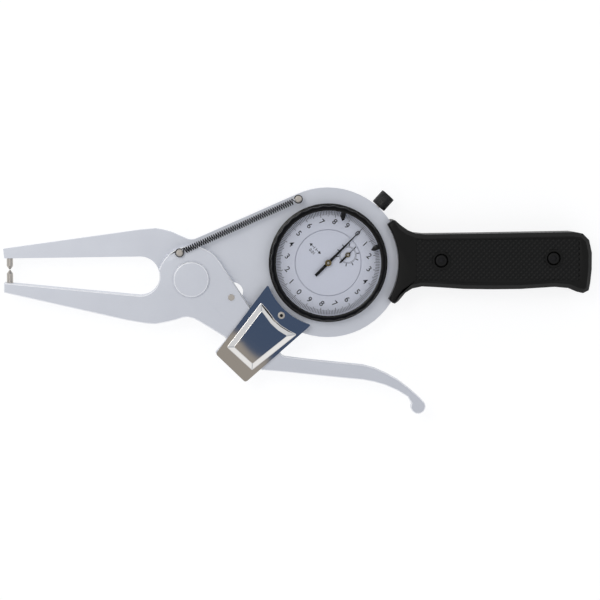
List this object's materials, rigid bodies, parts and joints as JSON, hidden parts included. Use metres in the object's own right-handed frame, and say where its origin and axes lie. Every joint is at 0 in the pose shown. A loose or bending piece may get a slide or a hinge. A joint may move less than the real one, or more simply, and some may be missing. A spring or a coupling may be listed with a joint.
{
  "type": "dial caliper gauge",
  "caption": "Hand-held outside dial gauge: a finger lever swings a long jaw against a spring, and a gear train turns the hand of a round dial.",
  "frame": {"origin": "centre of the flat rear case under the dial: the dial's axis where it meets the back face", "axes": "+X towards the grip, +Y to the fixed jaw's side, +Z out of the dial"},
  "size_m": [0.2884, 0.1113, 0.0225],
  "materials": {
    "satin_metal": "fine satin, bead-blasted and anodised",
    "lever_metal": "satin, bead-blasted",
    "polished_steel": "polished and plated",
    "hard_steel": "ground",
    "spring_steel": "blackened wire",
    "brass": "machined",
    "black_plastic": "moulded, fine satin",
    "black_paint": "black enamel",
    "dial_paint": "flat off-white enamel",
    "clear_crystal": "clear, polished"
  },
  "bodies": {
    "frame": {"body_plate": "satin_metal", "upper_contact": "hard_steel", "pivot_bolt": "satin_metal", "pivot_washer": "hard_steel", "pivot_nut": "hard_steel", "body_spring_post": "hard_steel", "return_spring": "spring_steel", "movement_bridge": "brass", "bridge_screw_1": "hard_steel", "bridge_screw_2": "hard_steel", "bridge_screw_3": "hard_steel", "rear_case": "satin_metal", "rear_case_screw_1": "hard_steel", "rear_case_screw_2": "hard_steel", "rear_case_screw_3": "hard_steel", "rear_case_screw_4": "hard_steel", "mechanism_cover": "polished_steel", "cover_screw": "polished_steel", "dial_base": "brass", "dial_middle": "dial_paint", "dial_screw_1": "hard_steel", "dial_screw_2": "hard_steel", "dial_screw_3": "hard_steel", "grip_front": "black_plastic", "grip_back": "black_plastic", "grip_screw_1": "black_paint", "grip_screw_2": "black_paint", "grip_nut_1": "hard_steel", "grip_nut_2": "hard_steel"},
    "jaw": {"moving_jaw_lever": "lever_metal", "lower_contact": "hard_steel", "pivot_bush": "brass", "stop_pin": "hard_steel", "jaw_spring_post": "hard_steel", "gear_sector": "hard_steel", "sector_screw_1": "hard_steel", "sector_screw_2": "hard_steel"},
    "idler": {"intermediate_arbor": "hard_steel", "intermediate_wheel": "brass"},
    "centre": {"centre_arbor": "hard_steel", "main_hand": "black_paint"},
    "counter": {"counter_arbor": "hard_steel", "counter_wheel": "brass", "counter_hand": "black_paint"},
    "bezel": {"bezel": "black_paint", "crystal": "clear_crystal", "dial_ring": "dial_paint"},
    "marker_1": {"limit_marker_1": "black_plastic"},
    "marker_2": {"limit_marker_2": "black_plastic"},
    "clamp": {"clamp_screw": "hard_steel", "clamp_knob": "black_plastic"}
  },
  "joints": [
    {"name": "jaw_swing", "type": "hinge", "parent": "frame", "child": "jaw", "pos_m": [-0.06703, -0.00789, 0], "axis": [0, 0, 1], "range_deg": [0, 12.86], "stiffness_Nm_per_rad": 0.1, "springref_deg": -24.64, "deforming": ["return_spring"]},
    {"name": "idler_turn", "type": "hinge", "parent": "frame", "child": "idler", "pos_m": [-0.01366, -0.00161, 0], "axis": [0, 0, 1], "range_deg": [0, 360]},
    {"name": "hand_turn", "type": "hinge", "parent": "frame", "child": "centre", "pos_m": [0, 0, 0], "axis": [0, 0, 1], "range_deg": [-3600, 0]},
    {"name": "counter_turn", "type": "hinge", "parent": "frame", "child": "counter", "pos_m": [0.00965, 0.00387, 0], "axis": [0, 0, 1], "range_deg": [0, 360]},
    {"name": "bezel_turn", "type": "hinge", "parent": "frame", "child": "bezel", "pos_m": [0, 0, 0], "axis": [0, 0, 1], "continuous": true},
    {"name": "marker_1_slide", "type": "hinge", "parent": "bezel", "child": "marker_1", "pos_m": [0, 0, 0], "axis": [0, 0, 1], "range_deg": [-20, 140]},
    {"name": "marker_2_slide", "type": "hinge", "parent": "bezel", "child": "marker_2", "pos_m": [0, 0, 0], "axis": [0, 0, 1], "range_deg": [-140, 20]},
    {"name": "clamp_turn", "type": "hinge", "parent": "frame", "child": "clamp", "pos_m": [0, 0, 0.012], "axis": [0.6691, 0.7431, 0], "range_deg": [-360, 0]}
  ],
  "couplings": [
    {"joint": "idler_turn", "follows": "jaw_swing", "ratio": 28},
    {"joint": "hand_turn", "follows": "jaw_swing", "ratio": -280},
    {"joint": "counter_turn", "follows": "jaw_swing", "ratio": 28}
  ]
}
